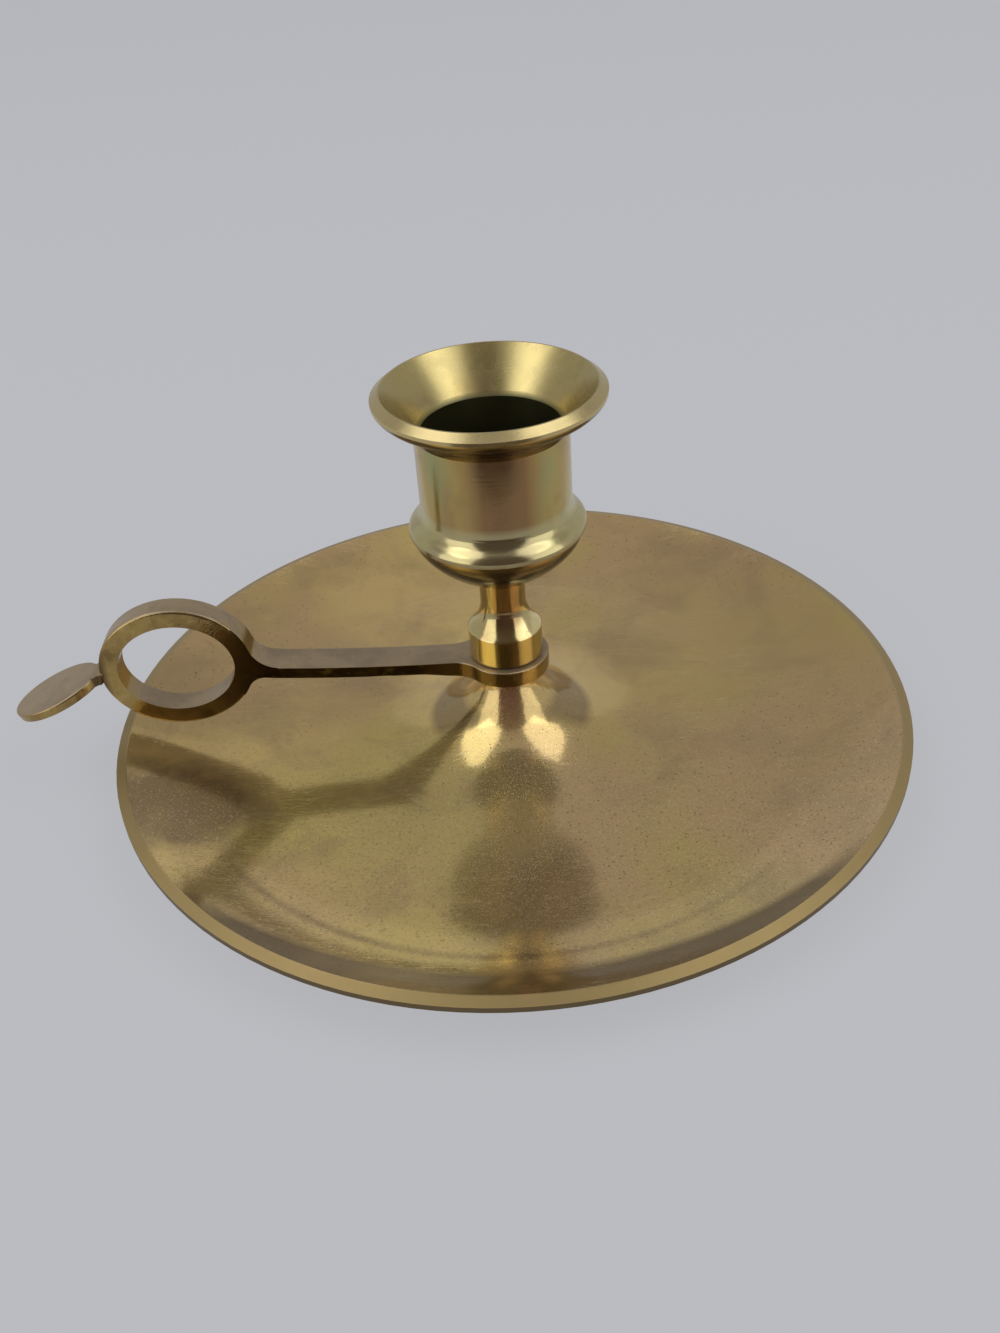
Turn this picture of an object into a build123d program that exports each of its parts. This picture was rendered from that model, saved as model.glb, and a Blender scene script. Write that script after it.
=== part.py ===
from build123d import *
import os

# Brass chamberstick: a round drip pan with a flared pillar, a finger handle whose eye is
# trapped on the pillar under a turned collar, and a candle cup screwed on a central stud.
# Millimetres. Z is the stem's axis, zero is the surface that the foot stands on, and the
# handle points along -X.

# Drip pan, one casting with its foot and its pillar
PAN_R = 70.0            # half the pan's width over its rim
RIM_STAND = 8.0         # the rim's lower edge over the table
RIM_EDGE = 1.0          # height of the rim's upright outer edge
RIM_BEVEL = 1.8         # width of the bevel that falls outward from the rim's crest
RIM_BEVEL_DROP = 0.6
RIM_UNDER = 0.9         # flat under the rim's edge
PAN_FLOOR_Z = 4.0       # the pan's floor, inside
WALL_CURVE = 24.0       # the floor curves up over this width, rim included
PAN_PLATE = 1.8         # thickness of the casting
UNDER_CURVE = 23.1      # width of the underside's curve up to the rim
FOOT_INSET = 2.0        # the foot ring's outside lies this far inside the floor's curve
FOOT_W = 3.5
FOOT_ROUND = 0.5
HUB_R = 9.0             # solid boss under the pillar, level with the foot
PILLAR_R = 4.75         # at the top, under the handle's eye
PILLAR_TOP_Z = 16.9
FLARE_R = 27.0          # where the pillar's flare runs out into the floor
FLARE_WAIST = 5.3       # how far the flare's pull reaches down the pillar
FLARE_SKIRT = 15.0      # how far its pull reaches in over the floor

# Central stud, a plain rod at the thread's outside size
STUD_R = 2.5
STUD_IN_PILLAR = 10.0   # how deep it is screwed into the pillar
STUD_IN_CUP = 4.8       # how much of it the candle cup is screwed onto
STUD_CHAMFER = 0.4
THREAD_PLAY = 0.05      # radial gap round the stud
TAP_RUNOUT = 0.3        # how far the cup's tapped hole runs past the stud's end

# Finger handle, one flat casting: eye, arm and ring
EYE_R = 7.4
EYE_H = 3.0
EYE_PLAY = 0.15         # gap over the eye that lets the handle turn
ARM_W = 6.0
ARM_T = 2.3
ARM_START = 6.0         # the arm's climb starts here, inside the eye
ARM_RISE = 2.05         # how much it climbs to the ring
UNDER_START = 8.0       # the underside thins from here, at the eye's edge
UNDER_THINS = 8.0       # length over which it thins to the arm's thickness
UNDER_PULL = 3.0        # how smoothly it does so
ARM_EYE_BLEND = 5.0     # radius between the eye and the arm, seen from above
ARM_NARROW = 6.0        # length over which the arm narrows to the ring's width
ARM_OVERLAP = 1.0       # how far its flared end reaches along the ring
HANDLE_EDGE = 0.25      # rounding of the eye's and the arm's edges
RING_AT = 57.5          # ring's centre from the stem's axis
RING_Z = 22.2
RING_IN_X = 10.2        # half the finger hole's length
RING_IN_Z = 8.6         # half its height
RING_T = 3.2            # thickness of the band
RING_W = 4.6            # width of the band
RING_EDGE = 0.5         # rounding of its outer edges
RING_TIP = 6.0          # degrees that the ring's outer end hangs down
RING_BLEND_TOP = 5.0    # radii between the ring and the arm, seen from the side
RING_BLEND_LOW = 3.5

# Thumb rest, an oval disc brazed to the ring's outer end
TAB_AT = 80.0           # its top face's centre from the stem's axis
TAB_Z = 18.2
TAB_HALF_LENGTH = 8.6
TAB_HALF_WIDTH = 5.95
TAB_T = 1.75
TAB_SLOPE = 22.7        # degrees that it falls outward
TAB_ROOT = 12.0         # its root runs this far in, up to the ring's outside
TAB_ROOT_W = 4.6
TAB_EDGE = 0.35

# Collar, a turned spacer between the handle's eye and the candle cup
COLLAR_R = 6.4
COLLAR_BAND = 5.4       # height of its upright band
COLLAR_CHAMFER = 0.3
NECK_R = 3.9
NECK_START_Z = 31.0     # where the sweep down from the ridge has become the neck
RIDGE_PULL_R = 6.1      # the sweep leaves the band's ridge towards this radius
RIDGE_PULL_RISE = 0.75
NECK_PULL = 3.5         # how far down the sweep is pulled along the neck

# Candle cup, one turned casting
CUP_Z = 34.9            # underside, on the collar's neck
CUP_WALL_R = 12.4
CUP_BULGE_R = 14.6
CUP_H = 34.8
BOWL_H = 10.4           # underside to the bulge's widest edge
CUP_BULGE_EDGE = 0.7    # height of that edge
BULGE_START = (-0.35, 1)  # direction in which the bulge leaves that edge
CUP_BULGE_H = 4.0       # from the bowl's top to where the bulge has become the upright wall
BOWL_R = 14.3           # bowl's top, a little inside the bulge's edge
BOWL_CURVE = [(4.6, 0.6), (6.2, 1.6), (8.2, 2.9), (10.5, 4.7), (12.4, 6.6), (13.6, 8.3)]
FLARED_H = 7.1          # height of the flared lip, from where it leaves the wall
UNDER_LIP_CURVE = [(0.55, 1.2), (2.7, 2.75)]
LIP_R = 18.5
LIP_DROP = 1.6          # lip's outer edge under the top
LIP_EDGE = 0.6          # height of that edge
CREST_R = 17.2
CREST_W = 0.3           # flat top of the lip's crest
BORE_R = 11.2           # socket for a 22 mm candle
BORE_FLOOR = 7.5        # the bore's floor over the underside
THROAT_R = 11.7         # where the bore opens into the flare
THROAT_DROP = 6.3       # that opening under the top
THROAT_LEAD = 0.7       # height of the lead from the bore to the flare

# Worked-out sizes
CREST_OF_RIM = (PAN_R - RIM_BEVEL, RIM_STAND + RIM_EDGE + RIM_BEVEL_DROP)
UNDER_Z = PAN_FLOOR_Z - PAN_PLATE
FOOT_R = PAN_R - WALL_CURVE - FOOT_INSET
HOLE_R = STUD_R + THREAD_PLAY
STUD_LOW_Z = PILLAR_TOP_Z - STUD_IN_PILLAR
STUD_TOP_Z = CUP_Z + STUD_IN_CUP
EYE_TOP_Z = PILLAR_TOP_Z + EYE_H
COLLAR_Z = EYE_TOP_Z + EYE_PLAY
RIDGE_Z = COLLAR_Z + COLLAR_BAND
CUP_TOP_Z = CUP_Z + CUP_H
BULGE_Z = CUP_Z + BOWL_H
UNDER_LIP_Z = CUP_TOP_Z - FLARED_H
LIP_Z = CUP_TOP_Z - LIP_DROP
THROAT_Z = CUP_TOP_Z - THROAT_DROP
BORE_FLOOR_Z = CUP_Z + BORE_FLOOR
ARM_END = RING_AT - RING_IN_X - RING_T / 2
HALF_TURN = 180
OVERRUN = 2.0           # how far cutting solids run past what they cut


def turned(profile):
    """A solid of revolution about Z from a closed profile of (radius, height) in the XZ plane."""
    return revolve(Plane.XZ * make_face(profile), Axis.Z)


def rod(radius, low, high):
    """An upright cylinder on the stem's axis between two heights."""
    return Pos(0, 0, (low + high) / 2) * Cylinder(radius, high - low)


def drip_pan():
    """The pan with its flared pillar, rim, foot ring and hub, tapped for the stud."""
    floor_end = (PAN_R - WALL_CURVE, PAN_FLOOR_Z)
    rim_low = (PAN_R - RIM_UNDER, RIM_STAND)
    under_end = (PAN_R - RIM_UNDER - UNDER_CURVE, UNDER_Z)
    foot_in = FOOT_R - FOOT_W
    profile = [
        Line((0, 0), (0, PILLAR_TOP_Z)),
        Line((0, PILLAR_TOP_Z), (PILLAR_R, PILLAR_TOP_Z)),
        Bezier(
            (PILLAR_R, PILLAR_TOP_Z),
            (PILLAR_R, PILLAR_TOP_Z - FLARE_WAIST),
            (FLARE_R - FLARE_SKIRT, PAN_FLOOR_Z),
            (FLARE_R, PAN_FLOOR_Z),
        ),
        Line((FLARE_R, PAN_FLOOR_Z), floor_end),
        TangentArc(floor_end, CREST_OF_RIM, tangent=(1, 0)),
        Line(CREST_OF_RIM, (PAN_R, RIM_STAND + RIM_EDGE)),
        Line((PAN_R, RIM_STAND + RIM_EDGE), (PAN_R, RIM_STAND)),
        Line((PAN_R, RIM_STAND), rim_low),
        TangentArc(under_end, rim_low, tangent=(1, 0)),
        Line(under_end, (FOOT_R, UNDER_Z)),
        Line((FOOT_R, UNDER_Z), (FOOT_R, FOOT_ROUND)),
        Line((FOOT_R, FOOT_ROUND), (FOOT_R - FOOT_ROUND, 0)),
        Line((FOOT_R - FOOT_ROUND, 0), (foot_in + FOOT_ROUND, 0)),
        Line((foot_in + FOOT_ROUND, 0), (foot_in, FOOT_ROUND)),
        Line((foot_in, FOOT_ROUND), (foot_in, UNDER_Z)),
        Line((foot_in, UNDER_Z), (HUB_R, UNDER_Z)),
        Line((HUB_R, UNDER_Z), (HUB_R, 0)),
        Line((HUB_R, 0), (0, 0)),
    ]
    tapped_hole = rod(HOLE_R, STUD_LOW_Z, PILLAR_TOP_Z + OVERRUN)
    return turned(profile) - tapped_hole


def stud():
    plain = rod(STUD_R, STUD_LOW_Z, STUD_TOP_Z)
    return chamfer(plain.edges().filter_by(GeomType.CIRCLE), STUD_CHAMFER)


def ring_oval(grow):
    """The finger hole's oval in the XZ plane, grown outward, with its outer end tipped down."""
    oval = Ellipse(RING_IN_X + grow, RING_IN_Z + grow)
    return Pos(-RING_AT, RING_Z) * Rot(0, 0, HALF_TURN + RING_TIP) * oval


def eye_and_arm():
    """The eye and the arm in the XZ plane: one flat top that curves upward to the ring."""
    top = TangentArc(
        (-ARM_START, EYE_TOP_Z),
        (-ARM_END, EYE_TOP_Z + ARM_RISE),
        tangent=(-1, 0),
    )
    low = Pos(0, -ARM_T) * top
    low = low.trim((UNDER_START + UNDER_THINS - ARM_START) / low.length, 1)
    thin_from = Vector(-UNDER_START, PILLAR_TOP_Z)
    thinning = Bezier(
        thin_from,
        thin_from - Vector(UNDER_PULL, 0),
        (low @ 0) - (low % 0) * UNDER_PULL,
        low @ 0,
    )
    return make_face(
        [
            Line((EYE_R, EYE_TOP_Z), top @ 0),
            top,
            Line(top @ 1, low @ 1),
            low,
            thinning,
            Line(thin_from, (EYE_R, PILLAR_TOP_Z)),
            Line((EYE_R, PILLAR_TOP_Z), (EYE_R, EYE_TOP_Z)),
        ]
    )


def arm_joints(side):
    """The two corners where the arm meets the ring, the lower one first."""
    near = side.vertices().filter_by(lambda v: abs(v.X + ARM_END) < RING_T)
    return near.sort_by(Axis.Y)


def arm_side():
    """The eye and the arm, flared into the ring's band at the arm's outer end."""
    side = eye_and_arm() + ring_oval(RING_T)
    side = fillet(arm_joints(side)[-1], RING_BLEND_TOP)
    side = fillet(arm_joints(side)[0], RING_BLEND_LOW)
    return side - ring_oval(RING_T - RING_EDGE)


def eye_blend():
    """The arc that runs from the round eye into the arm's straight edge, seen from above."""
    reach = EYE_R + ARM_EYE_BLEND
    centre = Vector(0, ARM_W / 2 + ARM_EYE_BLEND)
    centre.X = -((reach**2 - centre.Y**2) ** 0.5)
    on_eye = centre * (EYE_R / reach)
    on_arm = Vector(centre.X, ARM_W / 2)
    towards = ((on_eye - centre) + (on_arm - centre)).normalized()
    return ThreePointArc(on_eye, centre + towards * ARM_EYE_BLEND, on_arm)


def handle_plan():
    """The eye and the arm seen from above, the arm narrowing to the ring's width."""
    narrow_from = ARM_END - ARM_NARROW
    blend = eye_blend()
    half = [
        ThreePointArc((EYE_R, 0), (0, EYE_R), blend @ 0),
        blend,
        Line(blend @ 1, (-narrow_from, ARM_W / 2)),
        Line((-narrow_from, ARM_W / 2), (-ARM_END, RING_W / 2)),
        Line((-ARM_END, RING_W / 2), (-ARM_END - ARM_OVERLAP, RING_W / 2)),
        Line((-ARM_END - ARM_OVERLAP, RING_W / 2), (-ARM_END - ARM_OVERLAP, 0)),
    ]
    return make_face(half + [mirror(edge, about=Plane.XZ) for edge in half])


def finger_ring():
    """The oval band with its outer edges rounded."""
    band = extrude(Plane.XZ * ring_oval(RING_T), amount=RING_W / 2, both=True)
    band = fillet(band.edges().filter_by(GeomType.ELLIPSE), RING_EDGE)
    return band - extrude(Plane.XZ * ring_oval(0), amount=RING_W, both=True)


def finger_handle():
    """The whole casting: the side view's shape kept inside the top view's, with its ring."""
    side = extrude(Plane.XZ * arm_side(), amount=EYE_R + OVERRUN, both=True)
    plan = extrude(handle_plan(), amount=RING_Z + RING_IN_Z + 2 * RING_T)
    handle = (side & plan) + finger_ring()
    rims = handle.edges().filter_by(GeomType.CIRCLE).sort_by(Axis.X)[-2:]
    handle = fillet(rims, HANDLE_EDGE)
    return handle - rod(HOLE_R, PILLAR_TOP_Z - OVERRUN, EYE_TOP_Z + OVERRUN)


def thumb_rest():
    """The sloping oval disc, its root cut to the ring's outside where it is brazed on."""
    disc = Ellipse(TAB_HALF_LENGTH, TAB_HALF_WIDTH)
    root = Pos(TAB_ROOT / 2, 0) * Rectangle(TAB_ROOT, TAB_ROOT_W)
    tab = extrude(disc + root, amount=-TAB_T)
    tab = fillet(tab.edges().filter_by(GeomType.ELLIPSE), TAB_EDGE)
    tab = Pos(-TAB_AT, 0, TAB_Z) * Rot(0, -TAB_SLOPE, 0) * tab
    ring = extrude(Plane.XZ * ring_oval(RING_T), amount=TAB_HALF_WIDTH, both=True)
    return tab - ring


def baluster():
    """The collar: an upright band, a ridge, and a sweep in to the slim neck."""
    profile = [
        Line((HOLE_R, COLLAR_Z), (COLLAR_R - COLLAR_CHAMFER, COLLAR_Z)),
        Line((COLLAR_R - COLLAR_CHAMFER, COLLAR_Z), (COLLAR_R, COLLAR_Z + COLLAR_CHAMFER)),
        Line((COLLAR_R, COLLAR_Z + COLLAR_CHAMFER), (COLLAR_R, RIDGE_Z)),
        Bezier(
            (COLLAR_R, RIDGE_Z),
            (RIDGE_PULL_R, RIDGE_Z + RIDGE_PULL_RISE),
            (NECK_R, NECK_START_Z - NECK_PULL),
            (NECK_R, NECK_START_Z),
        ),
        Line((NECK_R, NECK_START_Z), (NECK_R, CUP_Z)),
        Line((NECK_R, CUP_Z), (HOLE_R, CUP_Z)),
        Line((HOLE_R, CUP_Z), (HOLE_R, COLLAR_Z)),
    ]
    return turned(profile)


def cup_outside():
    """The cup's outer profile from its underside up to the lip's outer edge."""
    bowl_points = [(NECK_R, CUP_Z)]
    bowl_points += [(r, CUP_Z + rise) for r, rise in BOWL_CURVE]
    bowl_points += [(BOWL_R, BULGE_Z)]
    edge_top = (CUP_BULGE_R, BULGE_Z + CUP_BULGE_EDGE)
    wall_low = (CUP_WALL_R, BULGE_Z + CUP_BULGE_H)
    wall_high = (CUP_WALL_R, UNDER_LIP_Z)
    lip_points = [(CUP_WALL_R + out, UNDER_LIP_Z + rise) for out, rise in UNDER_LIP_CURVE]
    return [
        Spline(*bowl_points),
        Line((BOWL_R, BULGE_Z), (CUP_BULGE_R, BULGE_Z)),
        Line((CUP_BULGE_R, BULGE_Z), edge_top),
        Spline(edge_top, wall_low, tangents=[BULGE_START, (0, 1)]),
        Line(wall_low, wall_high),
        Spline(wall_high, *lip_points, (LIP_R, LIP_Z)),
        Line((LIP_R, LIP_Z), (LIP_R, LIP_Z + LIP_EDGE)),
    ]


def candle_cup():
    """The cup, bored for the candle from above and for the stud from below."""
    crest_out = (CREST_R, CUP_TOP_Z)
    crest_in = (CREST_R - CREST_W, CUP_TOP_Z)
    bore_top = (BORE_R, THROAT_Z - THROAT_LEAD)
    profile = cup_outside() + [
        Line((LIP_R, LIP_Z + LIP_EDGE), crest_out),
        Line(crest_out, crest_in),
        Line(crest_in, (THROAT_R, THROAT_Z)),
        Line((THROAT_R, THROAT_Z), bore_top),
        Line(bore_top, (BORE_R, BORE_FLOOR_Z)),
        Line((BORE_R, BORE_FLOOR_Z), (0, BORE_FLOOR_Z)),
        Line((0, BORE_FLOOR_Z), (0, CUP_Z)),
        Line((0, CUP_Z), (NECK_R, CUP_Z)),
    ]
    tapped_hole = rod(HOLE_R, CUP_Z - OVERRUN, STUD_TOP_Z + TAP_RUNOUT)
    return turned(profile) - tapped_hole


os.makedirs("parts", exist_ok=True)
export_step(drip_pan(), "parts/drip_pan.step")
export_step(finger_handle(), "parts/finger_handle.step")
export_step(thumb_rest(), "parts/thumb_rest.step")
export_step(baluster(), "parts/baluster.step")
export_step(candle_cup(), "parts/candle_cup.step")
export_step(stud(), "parts/stud.step")
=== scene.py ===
import math

import bpy
from mathutils import Matrix, Vector


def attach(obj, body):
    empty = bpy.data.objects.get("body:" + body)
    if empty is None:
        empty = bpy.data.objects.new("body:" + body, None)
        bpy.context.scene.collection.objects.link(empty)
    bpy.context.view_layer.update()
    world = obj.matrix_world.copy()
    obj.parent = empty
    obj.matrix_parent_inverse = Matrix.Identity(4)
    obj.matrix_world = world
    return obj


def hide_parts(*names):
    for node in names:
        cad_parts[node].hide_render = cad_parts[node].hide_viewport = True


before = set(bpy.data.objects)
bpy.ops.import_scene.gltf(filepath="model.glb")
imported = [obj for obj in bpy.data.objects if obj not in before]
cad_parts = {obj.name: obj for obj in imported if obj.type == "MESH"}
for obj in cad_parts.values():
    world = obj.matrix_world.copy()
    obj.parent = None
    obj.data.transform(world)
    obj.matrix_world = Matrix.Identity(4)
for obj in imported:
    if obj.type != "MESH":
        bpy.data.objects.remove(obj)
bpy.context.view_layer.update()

# Everything is in metres and radians, and colours are linear red, green and blue.

# Camera, fitted to the photograph
CAMERA_PLACE = (0.0, -0.186415, 0.150524)
CAMERA_YAW = -0.0074
CAMERA_PITCH = 0.62419
CAMERA_ROLL = -0.07385
FOCAL_PIXELS = 1294.18
LONG_SIDE_PIXELS = 1333
SENSOR_MM = 36

# Stud and its thread
STUD_LOW = 0.0069
STUD_HIGH = 0.0397
STUD_RADIUS = 0.0025
STUD_END_SHARE = 0.84
THREAD_DEPTH = 0.00043
THREAD_PITCH = 0.0008
THREAD_RUN_OUT = 0.0005
THREAD_AROUND = 32
THREAD_ROWS_PER_TURN = 8

# Bead of braze round the thumb rest's root
BRAZE_MIDDLE = (-0.07105, 0, 0.02105)
BRAZE_HALF_WIDTH = 0.002208
BRAZE_HALF_HEIGHT = 0.000912
BRAZE_LEAN = 0.0006 * math.sin(math.radians(22.7))
BRAZE_SIZE = 0.00036
BRAZE_LUMPS = ((0.00011, 3, 0.7), (0.00007, 7, 2.1))
BRAZE_BULGE = 1.5
BRAZE_ROWS = 40
BRAZE_AROUND = 10

# Cloth under and round the object
CLOTH_LEVEL = -0.0001
CLOTH_REACH = 4.0
BACKDROP_REACH = 3.9
BACKDROP_TOP = 2.4
BACKDROP_AROUND = 64
CLOTH = (0.78, 0.77, 0.80)
CLOTH_AS_SEEN = (0.48, 0.487, 0.515)
SHARE_AS_SEEN = 0.87

# Room: each lamp's name, place, point it faces, width and length, and watts
ROOM = (0.35, 0.35, 0.36)
LAMPS = (
    ("window_left", (-0.80, -0.55, 0.50), (0, 0, 0.03), (0.9, 1.1), 3.1),
    ("window_right", (0.85, -0.50, 0.50), (0, 0, 0.03), (0.9, 1.1), 2.9),
    ("ceiling_left", (-0.55, -0.08, 0.90), (-0.55, -0.079, 0), (0.6, 0.75), 2.1),
    ("ceiling_right", (0.55, -0.08, 0.90), (0.55, -0.079, 0), (0.6, 0.75), 2.1),
)

# Colours of each material's layers
PAN = {
    "ground": (0.82, 0.595, 0.225),
    # painted shade on the pan's right
    "shaded right side": (0.47, 0.335, 0.155),
    "brown": (0.59, 0.40, 0.20),
    "olive": (0.60, 0.48, 0.14),
    "cloud": (0.42, 0.29, 0.15),
    # painted dark reflection where the floor meets the rim in front
    "corner_reflection": (0.17, 0.115, 0.05),
    # painted dark reflection, drawn as a fine ring
    "line": (0.30, 0.20, 0.10),
    # a tarnish stain, partly a painted dark reflection of the finger ring
    "stain": (0.20, 0.125, 0.06),
    "worn": (0.40, 0.295, 0.13),
    "grime": (0.26, 0.18, 0.09),
    "red streak": (0.45, 0.23, 0.12),
    "speck": (0.10, 0.07, 0.03),
    "bright grain": (0.98, 0.84, 0.52),
    "dark grain": (0.34, 0.25, 0.11),
    "dust": (0.66, 0.55, 0.34),
    "scratch": (0.90, 0.76, 0.45),
    "rim": (0.36, 0.262, 0.108),
    # painted shade on the rim's outer side
    "edge": (0.13, 0.09, 0.042),
}
HANDLE = {
    "ground": (0.41, 0.285, 0.10),
    "cloud": (0.24, 0.15, 0.065),
    "shaded side": (0.11, 0.07, 0.028),
    # painted shade along the arm's sides
    "arm's shaded side": (0.035, 0.022, 0.011),
    # painted shade on surfaces that face down
    "underside": (0.085, 0.055, 0.028),
    "root": (0.10, 0.07, 0.04),
    "top": (0.40, 0.305, 0.19),
    "cloud on top": (0.30, 0.225, 0.14),
    "dark blot": (0.17, 0.10, 0.04),
    "bright blot": (0.62, 0.48, 0.20),
    "speck": (0.12, 0.08, 0.04),
    "scratch": (0.66, 0.55, 0.38),
}
COLLAR = {
    "ground": (0.78, 0.645, 0.285),
    "neck": (0.38, 0.315, 0.15),
    "stain": (0.32, 0.19, 0.09),
    # painted dark reflection on the band
    "dark reflection below": (0.10, 0.065, 0.03),
    # painted shade
    "shaded shoulder left": (0.52, 0.42, 0.18),
    # painted highlight
    "highlit shoulder right": (0.97, 0.82, 0.40),
    # painted shade
    "shaded right below": (0.58, 0.47, 0.20),
    "streak": (0.60, 0.40, 0.19),
}
CUP = {
    "ground": (0.58, 0.465, 0.19),
    "yellow": (0.52, 0.37, 0.12),
    "green": (0.40, 0.42, 0.19),
    "brown": (0.36, 0.22, 0.11),
    "red front": (0.26, 0.135, 0.065),
    "blotch": (0.34, 0.25, 0.12),
    "bulge": (0.60, 0.58, 0.32),
    "bowl": (0.40, 0.31, 0.15),
    # painted shade on surfaces that face down
    "underside": (0.055, 0.036, 0.018),
    "funnel": (0.40, 0.335, 0.15),
    # painted highlight
    "crest": (0.62, 0.49, 0.25),
    "bore": (0.12, 0.12, 0.06),
}

RELIEF = 0.0003
SCRATCH_TURNS = (0.15, 0.7, 1.25, 1.9, 2.6)
SCRATCH_STRETCH = 16
SCRATCH_WIDTH = 0.006


def set_input(tree, socket, value):
    """Link another socket to this one, or set it to a colour or a plain value."""
    if isinstance(value, bpy.types.NodeSocket):
        tree.links.new(value, socket)
    elif socket.type == "RGBA":
        socket.default_value = (*value, 1)
    else:
        socket.default_value = value


def node(tree, kind, inputs=None, **settings):
    """A shader node with its settings and inputs."""
    made = tree.nodes.new(kind)
    for name, value in settings.items():
        setattr(made, name, value)
    for name, value in (inputs or {}).items():
        set_input(tree, made.inputs[name], value)
    return made


def math_node(tree, operation, first, second=0.0):
    return node(tree, "ShaderNodeMath", {0: first, 1: second}, operation=operation).outputs[0]


class Brass:
    """A brass material, built up in layers: tints, films, specks, scratches and relief.

    A layer is put on through a mask, which is 1 where the layer shows and 0 elsewhere. East,
    north and up are the place on the object, and across is the distance from the stem's axis.
    """

    def __init__(self, name, colour, metal, gloss):
        self.material = bpy.data.materials.new(name)
        self.material.use_nodes = True
        self.tree = self.material.node_tree
        self.place = node(self.tree, "ShaderNodeTexCoord").outputs["Object"]
        self.east, self.north, self.up = self.split(self.place)
        self.across = self.distance(self.east, self.north)
        normal = node(self.tree, "ShaderNodeNewGeometry").outputs["Normal"]
        self.facing_up = self.split(normal)[2]
        self.colour = colour
        self.metal = metal
        self.gloss = gloss
        self.height = 0.0

    def split(self, vector):
        return list(node(self.tree, "ShaderNodeSeparateXYZ", {"Vector": vector}).outputs)

    def plus(self, first, second):
        return math_node(self.tree, "ADD", first, second)

    def times(self, first, *others):
        for other in others:
            first = math_node(self.tree, "MULTIPLY", first, other)
        return first

    def distance(self, first, second):
        """The length of a line that runs this far each way."""
        squares = self.plus(self.times(first, first), self.times(second, second))
        return math_node(self.tree, "SQRT", squares)

    def spread(self, value, low, high, to_low=0.0, to_high=1.0):
        """A value's range from low to high stretched to the target range and held there."""
        inputs = {"Value": value, "From Min": low, "From Max": high}
        inputs.update({"To Min": to_low, "To Max": to_high})
        return node(self.tree, "ShaderNodeMapRange", inputs).outputs[0]

    def band(self, value, middle, half, soft):
        """1 where a value is within half of the middle, fading to 0 over the soft width."""
        off = math_node(self.tree, "SUBTRACT", value, middle)
        off = math_node(self.tree, "ABSOLUTE", off)
        return self.spread(off, half, half + soft, 1.0, 0.0)

    def off_spot(self, middle, stretch):
        """Distance from a spot on the pan, stretched east and north where the spot is oval."""
        east = self.times(self.plus(self.east, -middle[0]), stretch[0])
        north = self.times(self.plus(self.north, -middle[1]), stretch[1])
        return self.distance(east, north)

    def noise(self, scale, detail=3.0, rough=0.5, warp=0.0, stretch=(1, 1, 1), turn=0, shift=(0, 0, 0)):
        """Soft random variation round a half, in a stretched, turned and shifted place."""
        inputs = {"Vector": self.place, "Scale": stretch, "Rotation": (0, 0, turn), "Location": shift}
        place = node(self.tree, "ShaderNodeMapping", inputs).outputs[0]
        inputs = {"Vector": place, "Scale": scale, "Detail": detail, "Roughness": rough}
        inputs["Distortion"] = warp
        return node(self.tree, "ShaderNodeTexNoise", inputs).outputs[0]

    def specks(self, scale, size):
        """Small round specks scattered at random."""
        cells = node(self.tree, "ShaderNodeTexVoronoi", {"Vector": self.place, "Scale": scale})
        near = self.spread(cells.outputs["Distance"], size * 0.5, size, 1.0, 0.0)
        split = node(self.tree, "ShaderNodeSeparateColor", {"Color": cells.outputs["Color"]})
        return self.times(near, self.spread(split.outputs[0], 0.70, 0.74))

    def scratches(self, scale):
        """Thin scratches in several directions, broken up so that each one is short."""
        field = 0.0
        for step, turn in enumerate(SCRATCH_TURNS):
            finer = scale * (1 + 0.23 * step)
            level = self.noise(finer, 2.0, stretch=(1, SCRATCH_STRETCH, 1), turn=turn, shift=(turn, 0, 0))
            line = self.band(level, 0.5, 0.0, SCRATCH_WIDTH)
            gate = self.noise(scale * 2.3, 1.0, shift=(turn, step, 0))
            short = self.times(line, self.spread(gate, 0.52, 0.62))
            field = math_node(self.tree, "MAXIMUM", field, short)
        return field

    def tint(self, mask, colour, strength):
        inputs = {0: self.times(mask, strength), 6: self.colour, 7: colour}
        self.colour = node(self.tree, "ShaderNodeMix", inputs, data_type="RGBA").outputs[2]

    def dull(self, mask, rougher, less_metal=0.0):
        self.gloss = self.plus(self.gloss, self.times(mask, rougher))
        if less_metal:
            loss = self.times(mask, less_metal)
            self.metal = math_node(self.tree, "SUBTRACT", self.metal, loss)

    def raise_by(self, mask, amount):
        self.height = self.plus(self.height, self.times(mask, amount))

    def finish(self, bump):
        inputs = {"Height": self.height, "Strength": bump, "Distance": RELIEF}
        relief = node(self.tree, "ShaderNodeBump", inputs).outputs[0]
        surface = self.tree.nodes["Principled BSDF"].inputs
        set_input(self.tree, surface["Base Color"], self.colour)
        set_input(self.tree, surface["Metallic"], self.metal)
        set_input(self.tree, surface["Roughness"], self.gloss)
        set_input(self.tree, surface["Normal"], relief)
        return self.material


def mottle_pan(look, broad, cloudy):
    """Brown and olive patches over the whole pan, and painted shade on the pan's right."""
    olive = look.noise(26, shift=(7, 5, 0))
    # Painted shade: the pan darker towards its right.
    look.tint(look.spread(look.east, -0.01, 0.05), PAN["shaded right side"], 0.7)
    look.tint(look.spread(broad, 0.42, 0.58), PAN["brown"], 0.85)
    look.tint(look.spread(olive, 0.50, 0.66), PAN["olive"], 0.55)
    look.tint(look.spread(cloudy, 0.46, 0.66), PAN["cloud"], 0.55)
    look.dull(look.spread(cloudy, 0.4, 0.7), rougher=0.05)


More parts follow.
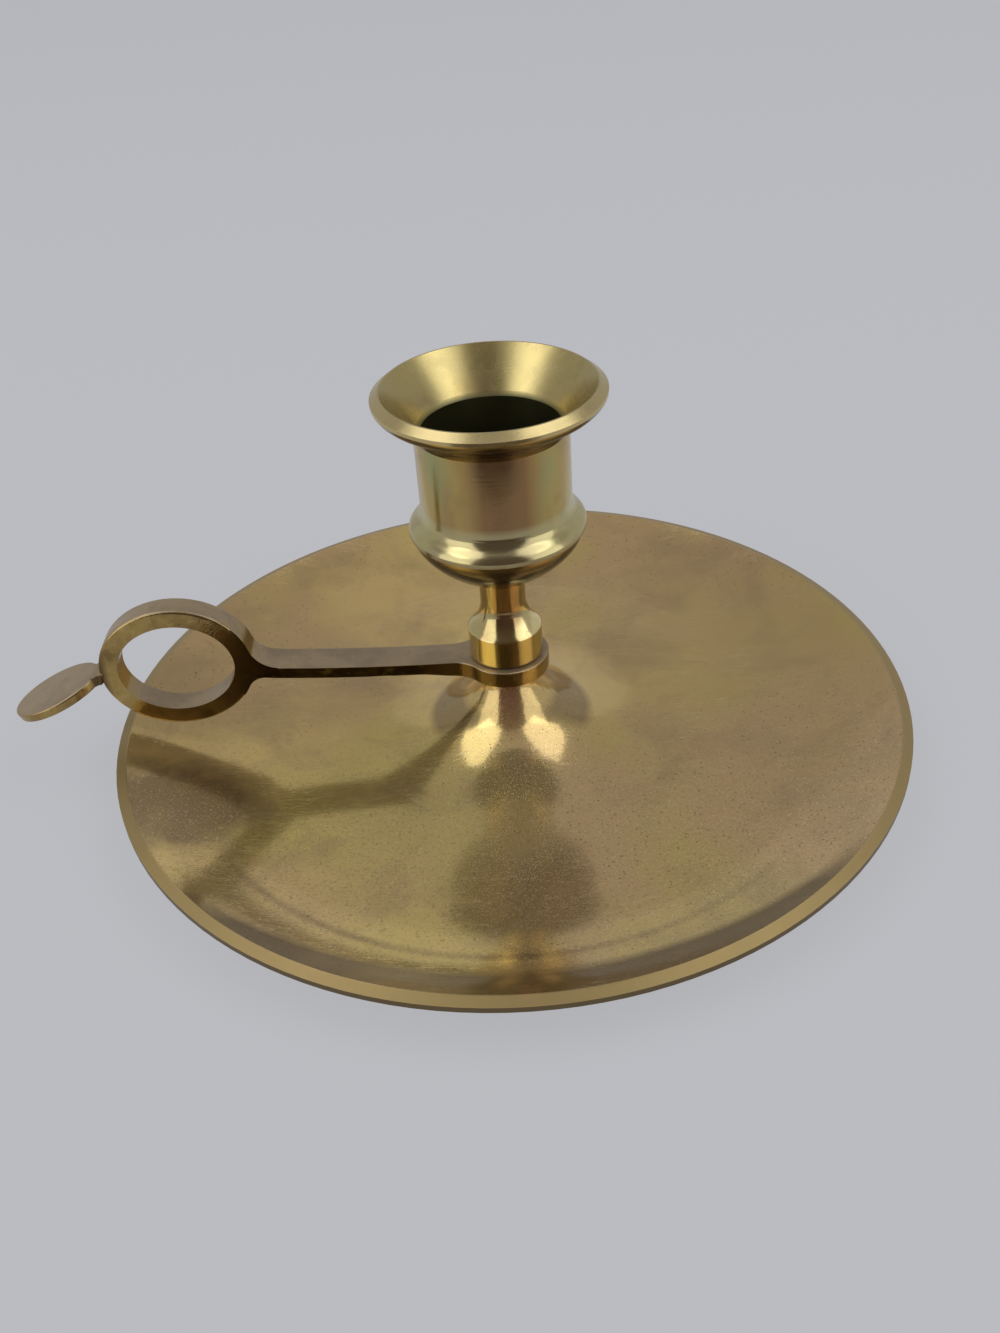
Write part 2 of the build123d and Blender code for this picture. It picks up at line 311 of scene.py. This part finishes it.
def paint_corner_reflection(look, broad):
    """Painted dark reflection where the floor meets the rim in front, wider towards the middle."""
    inner = look.spread(look.north, -0.046, -0.060, 0.0648, 0.0609)
    outside = look.spread(look.across, inner, look.plus(inner, 0.0022))
    uneven = look.spread(broad, 0.3, 0.5, 0.7, 1.0)
    in_front = look.spread(look.north, -0.0405, -0.0500)
    corner_reflection = look.times(outside, uneven, in_front)
    # Painted dark reflection at the foot of the rim in front.
    look.tint(corner_reflection, PAN["corner_reflection"], 0.92)
    return corner_reflection


def paint_reflected_line(look, cloudy):
    """A painted dark reflection: a fine dark ring just inside the painted band at the rim's foot, fainter
    on the right.
    """
    ring = look.band(look.across, 0.0578, 0.0002, 0.0010)
    uneven = look.spread(cloudy, 0.35, 0.55, 0.4, 1.0)
    in_front = look.spread(look.north, -0.030, -0.044)
    on_left = look.spread(look.east, 0.040, 0.0, 0.25, 1.0)
    # Painted dark reflection, drawn as a fine ring.
    look.tint(look.times(ring, uneven, in_front, on_left), PAN["line"], 0.75)


def stain_and_reflection_by_ring(look, cloudy):
    """A brown tarnish stain with an irregular edge in front of the finger ring, partly a painted dark
    reflection of the ring.
    """
    off = look.off_spot((-0.0565, -0.0200), (0.85, 0.85))
    off = look.plus(off, look.spread(cloudy, 0.3, 0.7, 0.0030, -0.0030))
    uneven = look.spread(cloudy, 0.30, 0.50, 0.8, 1.0)
    # Partly a painted dark reflection of the finger ring, partly a tarnish stain.
    look.tint(look.times(look.spread(off, 0.0142, 0.0070), uneven), PAN["stain"], 0.78)


def wear_spot(look, off_spot):
    """A dull worn spot on the floor, in front of the pillar."""
    worn = look.spread(off_spot, 0.0105, 0.0050)
    look.tint(worn, PAN["worn"], 0.55)
    look.dull(worn, rougher=0.16)


def soil_pillar(look):
    """Grime round the pillar's sides and back, and a red streak down its front."""
    around = look.band(look.across, 0.0112, 0.0024, 0.0016)
    grime = look.times(around, look.spread(look.north, -0.0075, -0.0045))
    look.tint(grime, PAN["grime"], 0.75)
    streak = look.band(look.east, -0.0001, 0.0012, 0.0010)
    in_front = look.spread(look.north, -0.001, -0.003)
    high = look.spread(look.up, 0.0075, 0.0110)
    look.tint(look.times(streak, in_front, high), PAN["red streak"], 0.85)


def grain_front(look, corner_reflection):
    """Fine bright and dark grain, mostly in front, and little of it on the painted dark reflection at the
    rim's foot.
    """
    in_front = look.spread(look.north, 0.012, -0.030, 0.15, 1.0)
    used = look.times(in_front, look.spread(corner_reflection, 0.0, 1.0, 1.0, 0.2))
    bright = look.noise(2700, 1.0)
    look.tint(look.times(used, look.spread(bright, 0.58, 0.70)), PAN["bright grain"], 0.28)
    dark = look.noise(1800, 2.0)
    look.tint(look.times(used, look.spread(dark, 0.56, 0.70)), PAN["dark grain"], 0.5)
    return dark


def dust_spot(look, off_spot):
    """Fine pale dust on and round the worn spot, thinner up the pillar."""
    near = look.spread(off_spot, 0.028, 0.004)
    low = look.spread(look.up, 0.0085, 0.0060, 0.3, 1.0)
    grains = look.spread(look.noise(4300, 1.0), 0.57, 0.68)
    dust = look.times(near, low, grains)
    look.tint(dust, PAN["dust"], 0.42)
    look.dull(dust, rougher=0.22, less_metal=0.2)


def wear_and_shade_rim(look):
    """A duller rim, with painted shade on its steep outer side."""
    rim = look.spread(look.across, 0.0680, 0.0684)
    look.tint(rim, PAN["rim"], 0.9)
    look.dull(rim, rougher=0.27)
    steep = look.spread(look.facing_up, 0.6, 0.2)
    edge = look.times(look.spread(look.across, 0.0690, 0.0696), steep)
    # Painted shade on the rim's steep outer side.
    look.tint(edge, PAN["edge"], 0.9)


def pan_brass():
    """Dull old brass: olive and brown patches, stains, dark specks, scratches, a worn rim, and painted
    shade and dark reflections.
    """
    look = Brass("pan brass", PAN["ground"], metal=0.74, gloss=0.11)
    broad = look.noise(17, 3.0, 0.55)
    cloudy = look.noise(60, 4.0, 0.6, 0.3, shift=(3, 1, 0))
    off_spot = look.off_spot((0, -0.0290), (1.61245, 0.77460))
    mottle_pan(look, broad, cloudy)
    corner_reflection = paint_corner_reflection(look, broad)
    paint_reflected_line(look, cloudy)
    stain_and_reflection_by_ring(look, cloudy)
    wear_spot(look, off_spot)
    soil_pillar(look)
    specks = look.specks(1300, 0.26)
    look.tint(look.times(specks, look.spread(broad, 0.40, 0.56)), PAN["speck"], 0.7)
    dark_grain = grain_front(look, corner_reflection)
    dust_spot(look, off_spot)
    scratches = look.scratches(55)
    look.tint(scratches, PAN["scratch"], 0.25)
    look.dull(scratches, rougher=0.10)
    wear_and_shade_rim(look)
    look.raise_by(scratches, -0.5)
    look.raise_by(dark_grain, 0.25)
    look.raise_by(specks, -0.6)
    return look.finish(0.06)


def paint_handle_shade(look, side):
    """Painted shade on the sides from the ring to the eye, darkest along the arm, and on the underside,
    and soot where the rest is brazed on.
    """
    along = look.times(
        look.spread(look.east, -0.053, -0.046),
        look.spread(look.east, 0.0035, 0.0005),
    )
    # Painted shade on the sides from the ring to the eye.
    look.tint(look.times(side, along), HANDLE["shaded side"], 0.85)
    arm = look.times(
        look.spread(look.east, -0.048, -0.042),
        look.spread(look.east, -0.010, -0.016),
    )
    # Painted shade, darkest along the arm's sides.
    look.tint(look.times(side, arm), HANDLE["arm's shaded side"], 0.9)
    # Painted shade on the underside.
    look.tint(look.spread(look.facing_up, -0.3, -0.7), HANDLE["underside"], 0.8)
    root = look.band(look.east, -0.0712, 0.0008, 0.0012)
    look.tint(root, HANDLE["root"], 0.8)
    look.dull(root, rougher=0.3)


def blot_sides(look, side):
    """Dark and bright blots on the sides."""
    blots = look.noise(210, 4.0, 0.65, 0.4, shift=(2, 5, 1))
    look.tint(look.times(side, look.spread(blots, 0.50, 0.66)), HANDLE["dark blot"], 0.55)
    look.tint(look.times(side, look.spread(blots, 0.44, 0.34)), HANDLE["bright blot"], 0.35)


def handle_brass():
    """Tarnished casting: a grey, scratched top, and glossier sides with painted shade."""
    look = Brass("handle brass", HANDLE["ground"], metal=0.97, gloss=0.13)
    top = look.spread(look.facing_up, 0.35, 0.8)
    side = look.spread(look.facing_up, 0.5, 0.2)
    cloudy = look.noise(140, 4.0, 0.6, 0.3)
    look.tint(look.spread(cloudy, 0.48, 0.66), HANDLE["cloud"], 0.6)
    paint_handle_shade(look, side)
    look.tint(top, HANDLE["top"], 0.9)
    look.tint(look.times(top, look.spread(cloudy, 0.45, 0.62)), HANDLE["cloud on top"], 0.7)
    look.dull(top, rougher=0.22, less_metal=0.30)
    look.dull(look.spread(cloudy, 0.4, 0.65), rougher=0.06)
    blot_sides(look, side)
    specks = look.specks(1400, 0.26)
    look.tint(specks, HANDLE["speck"], 0.4)
    scratches = look.scratches(90)
    look.tint(look.times(scratches, top), HANDLE["scratch"], 0.35)
    look.raise_by(scratches, -0.5)
    look.raise_by(specks, -0.8)
    look.raise_by(look.noise(600), 0.5)
    return look.finish(0.12)


def stain_collar_and_paint_reflection(look):
    """A brown stain down the front, and a painted dark reflection on the band below the shoulder."""
    front = look.spread(look.north, -0.001, -0.003)
    stain = look.times(look.band(look.east, 0.0006, 0.0017, 0.0010), front)
    above = look.spread(look.up, 0.0262, 0.0280, 0.35, 1.0)
    look.tint(look.times(stain, above), COLLAR["stain"], 0.75)
    below = look.spread(look.up, 0.0258, 0.0252)
    # Painted dark reflection down the middle of the band below the shoulder.
    look.tint(look.times(stain, below), COLLAR["dark reflection below"], 0.85)


def paint_collar_light(look):
    """Painted shade on the shoulder's left, a painted highlight on its right, and painted shade on the
    band under the shoulder on its right.
    """
    on_left = look.spread(look.east, -0.001, -0.003)
    on_right = look.spread(look.east, 0.001, 0.003)
    shoulder = look.times(
        look.spread(look.up, 0.0252, 0.0258),
        look.spread(look.up, 0.0285, 0.0270),
    )
    # Painted shade on the shoulder's left and a painted highlight on its right.
    look.tint(look.times(shoulder, on_left), COLLAR["shaded shoulder left"], 0.6)
    look.tint(look.times(shoulder, on_right), COLLAR["highlit shoulder right"], 0.7)
    below = look.spread(look.up, 0.0258, 0.0252)
    # Painted shade on the band's right.
    look.tint(look.times(below, on_right), COLLAR["shaded right below"], 0.8)


def bright_brass():
    """Polished turned brass with fine lathe rings, darker up the neck, stained in front, with painted
    shade, a painted highlight and a painted dark reflection on the shoulder and band.
    """
    look = Brass("bright brass", COLLAR["ground"], metal=1.0, gloss=0.095)
    look.tint(look.spread(look.up, 0.0265, 0.0300), COLLAR["neck"], 0.85)
    stain_collar_and_paint_reflection(look)
    paint_collar_light(look)
    streak = look.noise(420, stretch=(1, 1, 0.12))
    look.tint(look.spread(streak, 0.52, 0.7), COLLAR["streak"], 0.5)
    rings = look.noise(5000, 2.0, stretch=(0.02, 0.02, 1))
    look.dull(look.spread(rings, 0.45, 0.65), rougher=0.05)
    look.raise_by(rings, 0.4)
    look.raise_by(look.scratches(160), -0.4)
    return look.finish(0.05)


def streak_wall(look):
    """Upright streaks of yellow, green and brown on the cup's outer wall, redder in front."""
    below_lip = look.spread(look.up, 0.0668, 0.0640)
    wall = look.times(below_lip, look.spread(look.across, 0.0112, 0.0118))
    streak = look.noise(120, 3.0, 0.5, 0.2, stretch=(1, 1, 0.16), shift=(0.3, 0, 0))
    other = look.noise(90, 2.0, stretch=(1, 1, 0.30), shift=(4, 2, 1))
    look.tint(look.times(wall, look.spread(other, 0.42, 0.52)), CUP["yellow"], 0.85)
    look.tint(look.times(wall, look.spread(other, 0.56, 0.68)), CUP["green"], 0.8)
    look.tint(look.times(wall, look.spread(streak, 0.50, 0.64)), CUP["brown"], 0.85)
    front = look.times(look.spread(look.north, -0.0075, -0.0115), wall)
    middle = look.band(look.east, 0.0012, 0.0032, 0.0045)
    look.tint(look.times(front, middle), CUP["red front"], 0.85)


def tint_lip(look):
    """A duller funnel inside the lip, and a painted highlight on the outer part of the lip's top."""
    level = look.spread(look.facing_up, 0.25, 0.55)
    funnel = look.times(level, look.spread(look.up, 0.0600, 0.0620))
    look.tint(funnel, CUP["funnel"], 0.45)
    look.dull(funnel, rougher=0.10)
    crest = look.spread(look.up, 0.0676, 0.0682)
    outer = look.spread(look.across, 0.0168, 0.0172)
    # Painted highlight on the outer part of the lip's top.
    look.tint(look.times(crest, outer), CUP["crest"], 0.55)


def darken_bore(look):
    """The dark, dull candle bore."""
    bore = look.times(
        look.spread(look.across, 0.0118, 0.0112),
        look.spread(look.up, 0.040, 0.043),
    )
    look.tint(bore, CUP["bore"], 0.95)
    look.dull(bore, rougher=0.25)


def cup_brass():
    """Tarnished cup: upright streaks of red-brown and green, a dark bore, and painted shade on the
    undersides.
    """
    look = Brass("cup brass", CUP["ground"], metal=0.95, gloss=0.15)
    blotch = look.noise(190, 4.0, 0.6)
    streak_wall(look)
    look.tint(look.spread(blotch, 0.55, 0.72), CUP["blotch"], 0.45)
    look.tint(look.band(look.up, 0.0478, 0.0020, 0.0012), CUP["bulge"], 0.5)
    look.tint(look.spread(look.up, 0.0462, 0.0452), CUP["bowl"], 0.7)
    # Painted shade on the surfaces that face down.
    look.tint(look.spread(look.facing_up, 0.0, -0.35), CUP["underside"], 0.95)
    tint_lip(look)
    darken_bore(look)
    look.dull(look.spread(blotch, 0.45, 0.7), rougher=0.08)
    look.raise_by(look.scratches(120), -0.4)
    look.raise_by(look.noise(3000, 2.0, stretch=(0.03, 0.03, 1)), 0.3)
    look.raise_by(look.specks(1100, 0.3), -0.25)
    return look.finish(0.05)


def new_object(name, points, faces):
    mesh = bpy.data.meshes.new(name)
    mesh.from_pydata(points, [], faces)
    mesh.update()
    made = bpy.data.objects.new(name, mesh)
    bpy.context.collection.objects.link(made)
    return made


def wear(piece, material):
    piece.data.materials.clear()
    piece.data.materials.append(material)


def new_piece(name, points, faces, material, body):
    piece = new_object(name, points, faces)
    piece.data.shade_smooth()
    wear(piece, material)
    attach(piece, body)
    return piece


def ring_faces(rows, around, closed=False):
    """Quads that join rows of points, each row going once round."""
    faces = []
    for row in range(rows if closed else rows - 1):
        low = row * around
        high = (row + 1) % rows * around
        for step in range(around):
            after = (step + 1) % around
            faces.append((low + step, low + after, high + after, high + step))
    return faces


def end_faces(count, around):
    """Triangles from the first and the last of the points to the rows next to them."""
    last = count - 1
    faces = []
    for step in range(around):
        after = (step + 1) % around
        faces.append((0, after + 1, step + 1))
        faces.append((last, last - around + step, last - around + after))
    return faces


def thread_row(z):
    """Points once round the stud at one height: a thread that runs out at both ends."""
    worn = min(1, (z - STUD_LOW) / THREAD_RUN_OUT, (STUD_HIGH - z) / THREAD_RUN_OUT)
    share = STUD_END_SHARE + (1 - STUD_END_SHARE) * worn
    points = []
    for step in range(THREAD_AROUND):
        turn = step / THREAD_AROUND
        wave = abs(((z / THREAD_PITCH - turn) % 1) * 2 - 1)
        radius = (STUD_RADIUS - THREAD_DEPTH * wave) * share
        points.append((radius * math.cos(math.tau * turn), radius * math.sin(math.tau * turn), z))
    return points


def cut_thread(material):
    """The stud with its thread, in place of the plain rod."""
    length = STUD_HIGH - STUD_LOW
    rows = int(length / THREAD_PITCH * THREAD_ROWS_PER_TURN) + 1
    points = [(0, 0, STUD_LOW)]
    for row in range(rows):
        points += thread_row(STUD_LOW + length * row / (rows - 1))
    points.append((0, 0, STUD_HIGH))
    wall = [tuple(index + 1 for index in face) for face in ring_faces(rows, THREAD_AROUND)]
    faces = wall + end_faces(len(points), THREAD_AROUND)
    piece = new_piece("stud_thread", points, faces, material, "stand")
    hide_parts("stud")


def braze_row(turn):
    """Points once round the bead, at one turn round the root."""
    square = max(abs(math.cos(turn)), abs(math.sin(turn)))
    y = BRAZE_HALF_WIDTH * math.cos(turn) / square
    z = BRAZE_HALF_HEIGHT * math.sin(turn) / square
    middle = Vector(BRAZE_MIDDLE) + Vector((BRAZE_LEAN * math.sin(turn), y, z))
    lumps = [height * math.sin(count * turn + start) for height, count, start in BRAZE_LUMPS]
    size = BRAZE_SIZE + sum(lumps)
    outward = Vector((0, math.cos(turn), math.sin(turn)))
    points = []
    for step in range(BRAZE_AROUND):
        bend = math.tau * step / BRAZE_AROUND
        along = Vector((size * BRAZE_BULGE * math.sin(bend), 0, 0))
        points.append(middle + outward * (size * math.cos(bend)) + along)
    return points


def run_braze(material):
    """The lumpy bead of braze round the thumb rest's root, where it meets the ring."""
    points = []
    for row in range(BRAZE_ROWS):
        points += braze_row(math.tau * row / BRAZE_ROWS)
    faces = ring_faces(BRAZE_ROWS, BRAZE_AROUND, closed=True)
    new_piece("braze_bead", points, faces, material, "handle")


def place_camera():
    yaw, pitch, roll = CAMERA_YAW, CAMERA_PITCH, CAMERA_ROLL
    level = math.cos(pitch)
    ahead = Vector((math.sin(yaw) * level, math.cos(yaw) * level, -math.sin(pitch)))
    right = Vector((math.cos(yaw), -math.sin(yaw), 0))
    up = right.cross(ahead)
    across = math.cos(roll) * right + math.sin(roll) * up
    upright = math.cos(roll) * up - math.sin(roll) * right
    camera = bpy.data.objects.new("camera", bpy.data.cameras.new("camera"))
    camera.data.sensor_width = SENSOR_MM
    camera.data.lens = SENSOR_MM * FOCAL_PIXELS / LONG_SIDE_PIXELS
    camera.data.clip_start = 0.01
    turn = Matrix((across, upright, -ahead)).transposed()
    camera.matrix_world = Matrix.Translation(CAMERA_PLACE) @ turn.to_4x4()
    bpy.context.collection.objects.link(camera)
    bpy.context.scene.camera = camera


def flat_sheet(name, corners):
    sheet = new_object(name, corners, [(0, 1, 2, 3)])
    return sheet


def plain_material(name, colour):
    material = bpy.data.materials.new(name)
    material.use_nodes = True
    surface = material.node_tree.nodes["Principled BSDF"].inputs
    surface["Base Color"].default_value = (*colour, 1)
    surface["Roughness"].default_value = 0.9
    surface["Specular IOR Level"].default_value = 0.1
    return material


def pale_cloth():
    """Cloth that is mostly seen in one even colour, so that the shadows on it are faint."""
    material = plain_material("pale cloth", CLOTH)
    tree = material.node_tree
    path = node(tree, "ShaderNodeLightPath").outputs
    seen = math_node(tree, "ADD", path["Is Camera Ray"], path["Is Glossy Ray"])
    seen = math_node(tree, "ADD", seen, path["Is Transmission Ray"])
    share = math_node(tree, "MULTIPLY", seen, SHARE_AS_SEEN)
    even = node(tree, "ShaderNodeEmission", {"Color": CLOTH_AS_SEEN, "Strength": 1.0}).outputs[0]
    lit = tree.nodes["Principled BSDF"].outputs[0]
    mixed = node(tree, "ShaderNodeMixShader", {0: share, 1: lit, 2: even}).outputs[0]
    set_input(tree, tree.nodes["Material Output"].inputs["Surface"], mixed)
    return material


def lay_floor(material):
    reach, z = CLOTH_REACH, CLOTH_LEVEL
    corners = [(-reach, -reach, z), (reach, -reach, z), (reach, reach, z), (-reach, reach, z)]
    wear(flat_sheet("floor", corners), material)


def hang_backdrop(material):
    """The same cloth all round, far off. It blocks no light, and shows in reflections."""
    turns = [math.tau * step / BACKDROP_AROUND for step in range(BACKDROP_AROUND)]
    ring = [(BACKDROP_REACH * math.cos(turn), BACKDROP_REACH * math.sin(turn)) for turn in turns]
    points = [(x, y, z) for z in (CLOTH_LEVEL, BACKDROP_TOP) for x, y in ring]
    backdrop = new_object("backdrop", points, ring_faces(2, BACKDROP_AROUND))
    wear(backdrop, material)
    backdrop.visible_diffuse = False
    backdrop.visible_shadow = False


def set_card(name, corners, colour):
    """A dark sheet that only reflections show: the upright one is the dim side of the room behind the
    camera, and the level one is a painted shadow on the cloth in front.
    """
    card = flat_sheet(name, corners)
    wear(card, plain_material(name.replace("_", " "), colour))
    card.visible_camera = False
    card.visible_diffuse = False
    card.visible_shadow = False


def set_cards():
    left, right, y, top = -0.25, 0.27, -0.34, 0.75
    upright = [(left, y, 0), (right, y, 0), (right, y, top), (left, y, top)]
    set_card("dark_card", upright, (0.19, 0.15, 0.13))
    # Painted shadow lying on the cloth in front, seen only in reflections.
    left, right, near, far, z = -0.10, 0.13, -0.118, -0.34, 0.0005
    level = [(left, far, z), (right, far, z), (right, near, z), (left, near, z)]
    set_card("shadow_card", level, (0.10, 0.07, 0.055))


def hang_lamp(name, place, aim, size, power):
    data = bpy.data.lights.new(name, "AREA")
    data.shape = "RECTANGLE"
    data.size, data.size_y = size
    data.energy = power
    lamp = bpy.data.objects.new(name, data)
    lamp.location = place
    lamp.rotation_euler = (Vector(aim) - Vector(place)).to_track_quat("-Z", "Y").to_euler()
    lamp.visible_camera = False
    bpy.context.collection.objects.link(lamp)


def light_room():
    world = bpy.data.worlds.new("room")
    bpy.context.scene.world = world
    world.use_nodes = True
    background = world.node_tree.nodes["Background"].inputs
    background["Color"].default_value = (*ROOM, 1)
    background["Strength"].default_value = 1.0
    for lamp in LAMPS:
        hang_lamp(*lamp)


def dress_parts():
    handle = handle_brass()
    bright = bright_brass()
    worn = {
        "drip_pan": pan_brass(),
        "finger_handle": handle,
        "thumb_rest": handle,
        "baluster": bright,
        "candle_cup": cup_brass(),
        "stud": bright,
    }
    for name, material in worn.items():
        wear(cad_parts[name], material)
    cut_thread(bright)
    run_braze(handle)


place_camera()
cloth = pale_cloth()
lay_floor(cloth)
hang_backdrop(cloth)
set_cards()
light_room()
dress_parts()
bpy.context.scene.view_settings.view_transform = "Standard"
